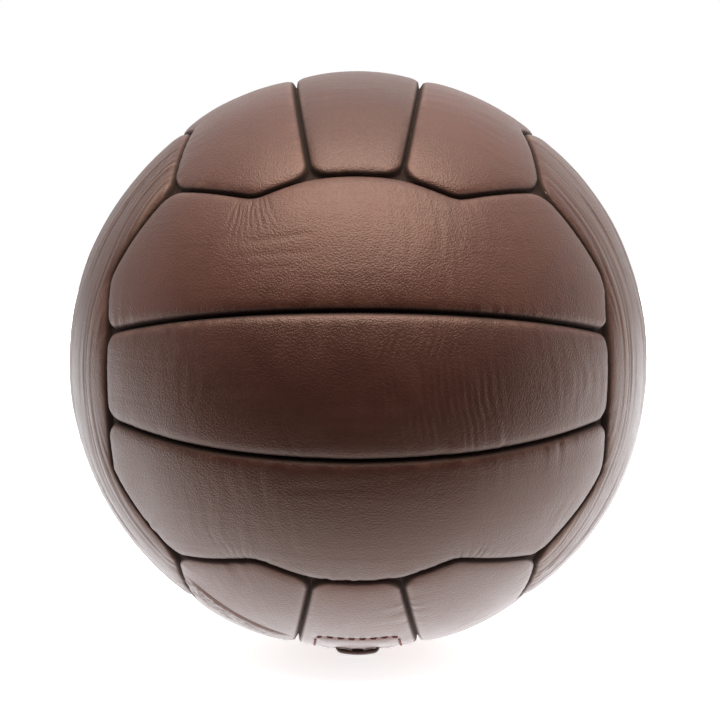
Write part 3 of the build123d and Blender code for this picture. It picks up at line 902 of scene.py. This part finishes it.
def woven_cotton():
    """Plain cotton drill, slightly soiled."""
    cloth = Finish("woven_cotton")
    place = cloth.place()
    warp = cloth.node("ShaderNodeTexWave", {"bands_direction": "X"}, {"Vector": place, "Scale": 420})
    weft = cloth.node("ShaderNodeTexWave", {"bands_direction": "Z"}, {"Vector": place, "Scale": 420})
    soil = cloth.noise(place, 60, 4)
    dyed = cloth.colour((0.60, 0.54, 0.44), (0.36, 0.29, 0.20), soil.between(0.35, 0.75))
    return cloth.set(Base_Color=dyed, Roughness=0.85 + soil * 0.1, Normal=cloth.bump(warp * weft, 0.0001, 0.8))


def moulded_rubber(name, pale, dark):
    """Moulded rubber with a dusty bloom."""
    rubber = Finish(name)
    place = rubber.place()
    bloom = rubber.noise(place, 120, 4)
    fine = rubber.noise(place, 1800, 2)
    dyed = rubber.colour(dark, pale, bloom.between(0.35, 0.8))
    return rubber.set(Base_Color=dyed, Roughness=0.45 + bloom * 0.3, Normal=rubber.bump(fine, 0.00005, 0.6))


def dress(piece, material):
    piece.data.materials.clear()
    piece.data.materials.append(material)


def dress_carried(node, material):
    """Puts a finish on every material slot of a piece carried over from the CAD model."""
    for slot in node.material_slots:
        slot.material = material


football_leather = panel_leather()
for strip in strips:
    dress(strip, football_leather)
dress(lace_thong, thong_leather("lace_thong", (0.085, 0.040, 0.026), (0.030, 0.013, 0.009)))
dress(stitch_row, twisted_thread("stitching_thread", (0.20, 0.030, 0.026), (0.060, 0.008, 0.007), 620))
tongue_split = thong_leather("tongue_split", (0.16, 0.085, 0.055), (0.08, 0.040, 0.026))
linen_thread = twisted_thread("linen_thread", (0.085, 0.048, 0.032), (0.030, 0.018, 0.012), 480)
cotton = woven_cotton()
bladder_rubber = moulded_rubber("bladder_rubber", (0.45, 0.17, 0.10), (0.30, 0.09, 0.055))
valve_rubber = moulded_rubber("valve_rubber", (0.06, 0.052, 0.045), (0.018, 0.016, 0.014))
for node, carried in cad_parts.items():
    if node.endswith("_lining"):
        dress_carried(carried, cotton)
    elif node.endswith("_thread"):
        dress_carried(carried, linen_thread)
dress_carried(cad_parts["lace_tongue"], tongue_split)
dress_carried(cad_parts["bladder"], bladder_rubber)
dress_carried(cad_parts["valve_body"], valve_rubber)
dress_carried(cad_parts["valve_plug"], valve_rubber)

# ---- floor, lights and camera, in metres ----
FLOOR_HALF_SIDE = 6.0
FLOOR_WHITENESS = 0.70
GLOW_COLOUR = (0.94, 0.97, 1.0)
GLOW_UNDER = 3.6
GLOW_FRONT = 0.02
GLOW_STARTS, GLOW_FULL = -0.24, -0.06  # from in front of the ball backwards
GLOW_SIDEWAYS = 0.12  # how much stronger it is at the right and weaker at the left
GLOW_REACH = 0.5
GLOW_ON_MATT = 0.25  # the share of the glow that rays other than glossy ones see
WALL_GLOW = 1.2
WALL_RISE = 0.25
WALL_TILT = 0.3
WALL_BRIGHT, WALL_DARK = -0.6, 0.9  # how far towards the viewer the wall starts and ends darkening
DARK_END = 0.01
FRONT_FILL = 0.65
VIEW_DISTANCE = 4.85 * BALL_RADIUS * MM
VIEW_HEIGHT = math.radians(4.3)
VIEW_TURN = math.radians(0.5)
LENS = 68.85
SENSOR_WIDTH = 36
AIM_OFFSET = Vector((0.0006, 0, 0.0004))

centre = Vector((0, 0, CENTRE_HEIGHT * MM))


def pale_floor():
    """A white floor that gives the ball a soft glow from below and behind, dim in front of it."""
    paper = Finish("white_paper")
    rightward, forward, _ = paper.parts(paper.place())
    sideways = rightward.between(-GLOW_REACH, GLOW_REACH) * (2 * GLOW_SIDEWAYS) + (1 - GLOW_SIDEWAYS)
    strength = GLOW_FRONT + forward.between(GLOW_STARTS, GLOW_FULL) * sideways * GLOW_UNDER
    strength = strength * (GLOW_ON_MATT + (1 - GLOW_ON_MATT) * paper.ray("Glossy"))
    glow = paper.node("ShaderNodeEmission", {}, {"Color": paper.times(strength, GLOW_COLOUR)})
    white = {"Base_Color": (0.9, 0.9, 0.9), "Emission_Color": (1.0, 1.0, 1.0)}
    paper.set(**white, Roughness=0.9, Emission_Strength=FLOOR_WHITENESS)
    seen = Sum(paper, paper.shader.outputs[0])
    lit = paper.node("ShaderNodeMixShader", {}, {0: paper.ray("Camera"), 1: glow, 2: seen})
    paper.feed(paper.tree.nodes["Material Output"].inputs["Surface"], lit)
    return paper.holder


def soft_room():
    """A plain white room that is dark on the viewer's side, with a little fill for the ball's front."""
    studio = Finish("studio", bpy.data.worlds.new("studio"))
    rightward, forward, upward = studio.parts(studio.node("ShaderNodeTexCoord", out="Generated"))
    wall = WALL_GLOW + rightward * WALL_TILT + upward * WALL_RISE
    surround = DARK_END + (1 - (-1.0 * forward).between(WALL_BRIGHT, WALL_DARK)) * wall
    surround = surround + FRONT_FILL * studio.ray("Diffuse")
    to_camera = studio.ray("Camera")
    backdrop = studio.tree.nodes["Background"]
    studio.feed(backdrop.inputs["Strength"], to_camera + (1 - to_camera) * surround)
    studio.feed(backdrop.inputs["Color"], (1.0, 1.0, 1.0))
    return studio.holder


def light_panel(name, place, size, power, tint):
    """A soft rectangular light that faces the ball's centre."""
    lamp = bpy.data.lights.new(name, "AREA")
    lamp.shape = "RECTANGLE"
    lamp.size, lamp.size_y = size
    lamp.energy = power
    lamp.color = tint
    holder = bpy.data.objects.new(name, lamp)
    holder.location = place
    holder.rotation_mode = "QUATERNION"
    holder.rotation_quaternion = (centre - Vector(place)).to_track_quat("-Z", "Y")
    bpy.context.scene.collection.objects.link(holder)


floor_corners = [
    (x * FLOOR_HALF_SIDE, y * FLOOR_HALF_SIDE, 0) for x, y in ((-1, -1), (1, -1), (1, 1), (-1, 1))
]
floor_mesh = bpy.data.meshes.new("floor")
floor_mesh.from_pydata(floor_corners, [], [(0, 1, 2, 3)])
floor = bpy.data.objects.new("floor", floor_mesh)
bpy.context.scene.collection.objects.link(floor)
dress(floor, pale_floor())
bpy.context.scene.world = soft_room()
light_panel("key_overhead", place=(0.0, -0.45, 1.05), size=(1.1, 0.8), power=22.5, tint=(1.0, 0.96, 0.90))

toward_camera = Vector(
    (
        math.sin(VIEW_TURN) * math.cos(VIEW_HEIGHT),
        -math.cos(VIEW_TURN) * math.cos(VIEW_HEIGHT),
        math.sin(VIEW_HEIGHT),
    )
)
camera = bpy.data.objects.new("camera", bpy.data.cameras.new("camera"))
camera.data.sensor_width = SENSOR_WIDTH
camera.data.lens = LENS
camera.location = centre + VIEW_DISTANCE * toward_camera
camera.rotation_mode = "QUATERNION"
camera.rotation_quaternion = (centre + AIM_OFFSET - camera.location).to_track_quat("-Z", "Y")
bpy.context.scene.collection.objects.link(camera)
bpy.context.scene.camera = camera
bpy.context.scene.view_settings.view_transform = "Standard"
